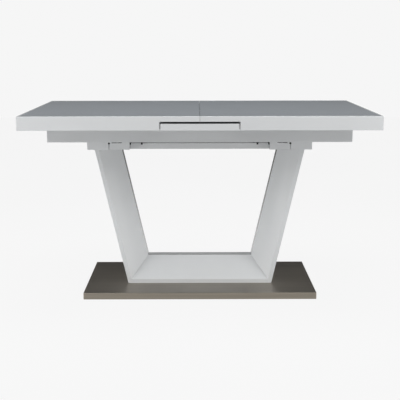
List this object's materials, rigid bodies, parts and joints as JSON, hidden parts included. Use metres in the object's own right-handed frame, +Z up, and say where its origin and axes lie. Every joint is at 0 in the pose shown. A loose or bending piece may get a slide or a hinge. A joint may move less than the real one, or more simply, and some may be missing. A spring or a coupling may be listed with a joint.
{
  "type": "extendable dining table",
  "caption": "Dining table whose split glass-faced top slides apart over a tray that stores an extension leaf, on a V-shaped pedestal with a flat steel-clad base.",
  "frame": {"origin": "on the floor, under the middle of the closed table", "axes": "+X along the table towards the right half, +Y from front to back, +Z up"},
  "size_m": [1.4, 0.9, 0.772],
  "materials": {
    "white_lacquer": "white high-gloss lacquer over fibreboard",
    "grey_glass": "mid-grey back-painted toughened glass",
    "brushed_stainless": "long-grain brushed stainless sheet",
    "zinc_steel": "zinc-plated steel",
    "nylon": "natural nylon",
    "black_steel": "black powder coat",
    "felt": "dense grey-black felt",
    "raw_board": "uncoated fibreboard"
  },
  "bodies": {
    "support": {"tray_front_rail": "white_lacquer", "tray_back_rail": "white_lacquer", "tray_left_end": "white_lacquer", "tray_right_end": "white_lacquer", "tray_bottom_panel": "white_lacquer", "tray_left_batten": "raw_board", "tray_middle_batten": "raw_board", "tray_right_batten": "raw_board", "leaf_glide_front": "felt", "leaf_glide_back": "felt", "left_front_slide_rail": "zinc_steel", "left_back_slide_rail": "zinc_steel", "right_front_slide_rail": "zinc_steel", "right_back_slide_rail": "zinc_steel", "pinion_axle": "zinc_steel", "pinion_cover": "zinc_steel", "left_leg_panel": "white_lacquer", "right_leg_panel": "white_lacquer", "left_leg_casing": "white_lacquer", "right_leg_casing": "white_lacquer", "left_leg_cap": "white_lacquer", "right_leg_cap": "white_lacquer", "left_front_spacer": "black_steel", "left_back_spacer": "black_steel", "right_front_spacer": "black_steel", "right_back_spacer": "black_steel", "crossbeam": "white_lacquer", "foot_beam_panel": "white_lacquer", "foot_beam_casing": "white_lacquer", "base_cover": "brushed_stainless", "base_core": "raw_board", "base_bolt_left": "zinc_steel", "base_bolt_right": "zinc_steel", "left_front_floor_pad": "felt", "left_back_floor_pad": "felt", "right_front_floor_pad": "felt", "right_back_floor_pad": "felt"},
    "left_half": {"left_top_board": "white_lacquer", "left_glass_panel": "grey_glass", "left_end_band": "white_lacquer", "left_front_band": "white_lacquer", "left_back_band": "white_lacquer", "left_front_slide_channel": "zinc_steel", "left_back_slide_channel": "zinc_steel", "left_rack": "nylon", "seam_pin_front": "nylon", "seam_pin_middle": "nylon", "seam_pin_back": "nylon"},
    "right_half": {"right_top_board": "white_lacquer", "right_glass_panel": "grey_glass", "right_end_band": "white_lacquer", "right_front_band": "white_lacquer", "right_back_band": "white_lacquer", "right_front_slide_channel": "zinc_steel", "right_back_slide_channel": "zinc_steel", "right_rack": "nylon"},
    "leaf": {"leaf_board": "white_lacquer", "leaf_glass_panel": "grey_glass"},
    "pinion": {"drive_pinion": "nylon"}
  },
  "joints": [
    {"name": "left_half_slide", "type": "slide", "parent": "support", "child": "left_half", "axis": [-1, 0, 0], "range_m": [0, 0.15]},
    {"name": "right_half_slide", "type": "slide", "parent": "support", "child": "right_half", "axis": [1, 0, 0], "range_m": [0, 0.15]},
    {"name": "pinion_turn", "type": "hinge", "parent": "support", "child": "pinion", "pos_m": [0, 0, 0.692], "axis": [0, 0, 1], "range_deg": [0, 430]},
    {"name": "leaf_draw", "type": "slide", "parent": "support", "child": "leaf", "axis": [0, -1, 0], "range_m": [0, 0.3]}
  ],
  "couplings": [
    {"joint": "right_half_slide", "follows": "left_half_slide", "ratio": 1},
    {"joint": "pinion_turn", "follows": "left_half_slide", "rad_per_m": 50}
  ]
}
